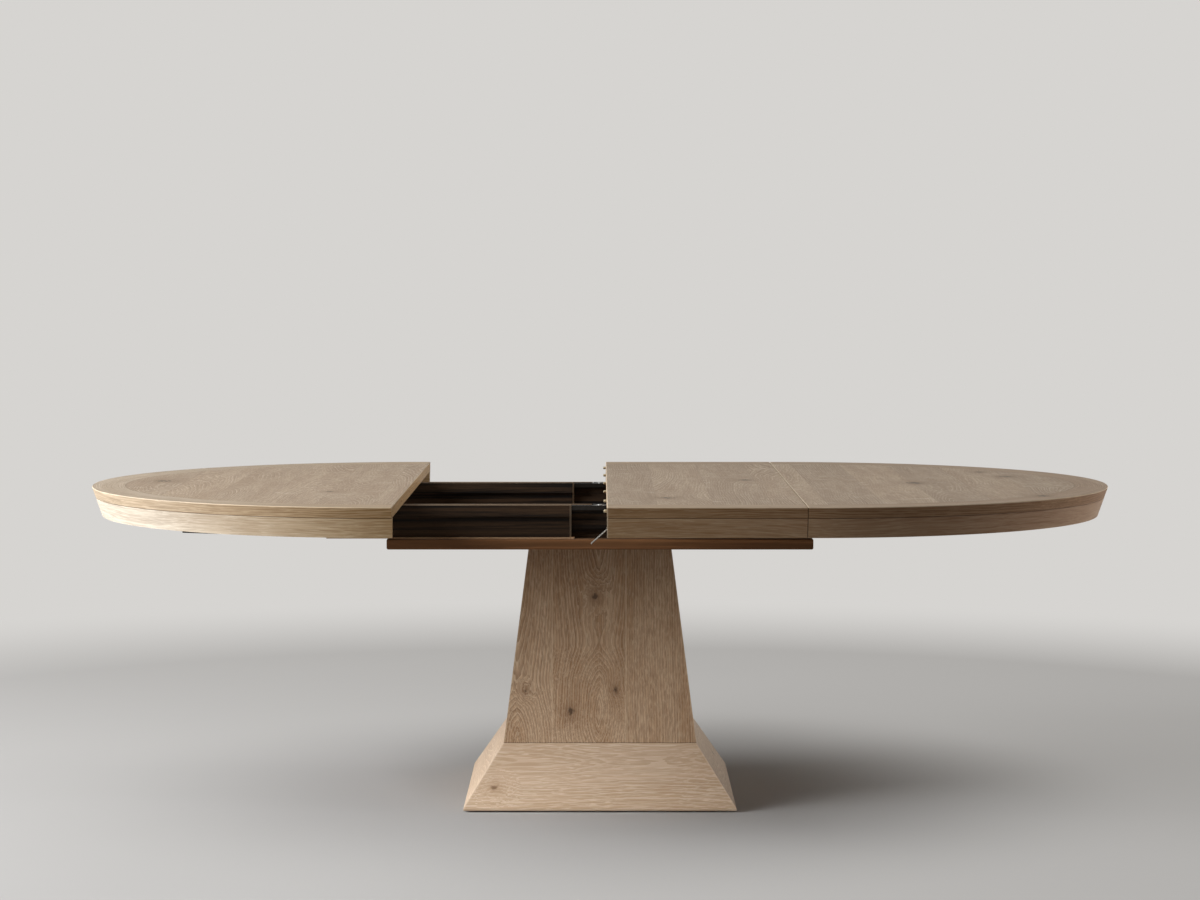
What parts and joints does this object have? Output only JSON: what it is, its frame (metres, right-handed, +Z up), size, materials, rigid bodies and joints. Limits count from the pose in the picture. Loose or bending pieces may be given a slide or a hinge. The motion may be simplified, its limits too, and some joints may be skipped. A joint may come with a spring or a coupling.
{
  "type": "extending pedestal dining table",
  "caption": "Round wooden dining table on a square flared pedestal, with half tops that draw apart evenly on geared wooden slides to take loose leaves.",
  "frame": {"origin": "on the floor under the middle of the column", "axes": "+X along the slides to the half with the leaf, -Y to the front, +Z up"},
  "size_m": [2.4846, 1.523, 0.762],
  "materials": {
    "top_oak": "satin lacquer",
    "pedestal_oak": "satin lacquer",
    "slide_stained_wood": "dark stain",
    "platform_stained_wood": "brown stain",
    "runner_beech": "waxed",
    "inner_pine": "raw",
    "hardware_steel": "zinc plated",
    "pin_brass": "turned",
    "glide_plastic": "moulded"
  },
  "bodies": {
    "pedestal": {"back_fixed_slide": "slide_stained_wood", "base_bolts": "hardware_steel", "column_back_panel": "pedestal_oak", "column_base_plate": "inner_pine", "column_corner_blocks": "inner_pine", "column_front_panel": "pedestal_oak", "column_left_panel": "pedestal_oak", "column_right_panel": "pedestal_oak", "column_top_plate": "inner_pine", "fixed_slide_screws": "hardware_steel", "floor_glides": "glide_plastic", "front_fixed_slide": "slide_stained_wood", "pedestal_nuts": "hardware_steel", "pinion_axles": "hardware_steel", "platform_bolts": "hardware_steel", "plinth_back_panel": "pedestal_oak", "plinth_corner_blocks": "inner_pine", "plinth_deck": "inner_pine", "plinth_front_panel": "pedestal_oak", "plinth_left_panel": "pedestal_oak", "plinth_right_panel": "pedestal_oak", "slide_platform": "platform_stained_wood"},
    "left_half": {"back_left_rack": "hardware_steel", "back_left_slide": "slide_stained_wood", "front_left_rack": "hardware_steel", "front_left_slide": "slide_stained_wood", "left_apron": "top_oak", "left_cleat": "inner_pine", "left_glue_blocks": "inner_pine", "left_keepers": "hardware_steel", "left_runners": "runner_beech", "left_slide_screws": "hardware_steel", "left_stop_pins": "hardware_steel", "left_top_board": "top_oak"},
    "right_half": {"back_right_rack": "hardware_steel", "back_right_slide": "slide_stained_wood", "front_right_rack": "hardware_steel", "front_right_slide": "slide_stained_wood", "right_apron": "top_oak", "right_cleat": "inner_pine", "right_glue_blocks": "inner_pine", "right_hook_pivots": "hardware_steel", "right_pins": "pin_brass", "right_runners": "runner_beech", "right_slide_screws": "hardware_steel", "right_stop_pins": "hardware_steel", "right_top_board": "top_oak"},
    "leaf": {"leaf_back_apron": "top_oak", "leaf_board": "top_oak", "leaf_front_apron": "top_oak", "leaf_glue_blocks": "inner_pine", "leaf_hook_pivots": "hardware_steel", "leaf_keepers": "hardware_steel", "leaf_pins": "pin_brass"},
    "front_pinion": {"front_pinion": "hardware_steel"},
    "back_pinion": {"back_pinion": "hardware_steel"},
    "leaf_front_hook": {"leaf_front_hook": "hardware_steel"},
    "leaf_back_hook": {"leaf_back_hook": "hardware_steel"},
    "right_front_hook": {"right_front_hook": "hardware_steel"},
    "right_back_hook": {"right_back_hook": "hardware_steel"}
  },
  "joints": [
    {"name": "left_slide", "type": "slide", "parent": "pedestal", "child": "left_half", "axis": [1, 0, 0], "range_m": [0, 0.238]},
    {"name": "right_slide", "type": "slide", "parent": "pedestal", "child": "right_half", "axis": [1, 0, 0], "range_m": [-0.238, 0]},
    {"name": "leaf_lift", "type": "slide", "parent": "right_half", "child": "leaf", "axis": [0, 0, 1], "range_m": [0, 0.3]},
    {"name": "front_pinion_turn", "type": "hinge", "parent": "pedestal", "child": "front_pinion", "pos_m": [0, -0.356, 0.73], "axis": [0, 0, 1], "range_deg": [0, 910]},
    {"name": "back_pinion_turn", "type": "hinge", "parent": "pedestal", "child": "back_pinion", "pos_m": [0, 0.356, 0.73], "axis": [0, 0, 1], "range_deg": [0, 910]},
    {"name": "leaf_front_hook_swing", "type": "hinge", "parent": "leaf", "child": "leaf_front_hook", "pos_m": [0.0275, -0.708, 0.719], "axis": [0, 1, 0], "range_deg": [-45, 41.5]},
    {"name": "leaf_back_hook_swing", "type": "hinge", "parent": "leaf", "child": "leaf_back_hook", "pos_m": [0.0275, 0.708, 0.719], "axis": [0, 1, 0], "range_deg": [-45, 41.5]},
    {"name": "right_front_hook_swing", "type": "hinge", "parent": "right_half", "child": "right_front_hook", "pos_m": [0.474, -0.708, 0.719], "axis": [0, 1, 0], "range_deg": [-86.5, 0]},
    {"name": "right_back_hook_swing", "type": "hinge", "parent": "right_half", "child": "right_back_hook", "pos_m": [0.474, 0.708, 0.719], "axis": [0, 1, 0], "range_deg": [-86.5, 0]}
  ],
  "couplings": [
    {"joint": "right_slide", "follows": "left_slide", "ratio": -1},
    {"joint": "front_pinion_turn", "follows": "left_slide", "rad_per_m": 66.667},
    {"joint": "back_pinion_turn", "follows": "left_slide", "rad_per_m": 66.667}
  ]
}
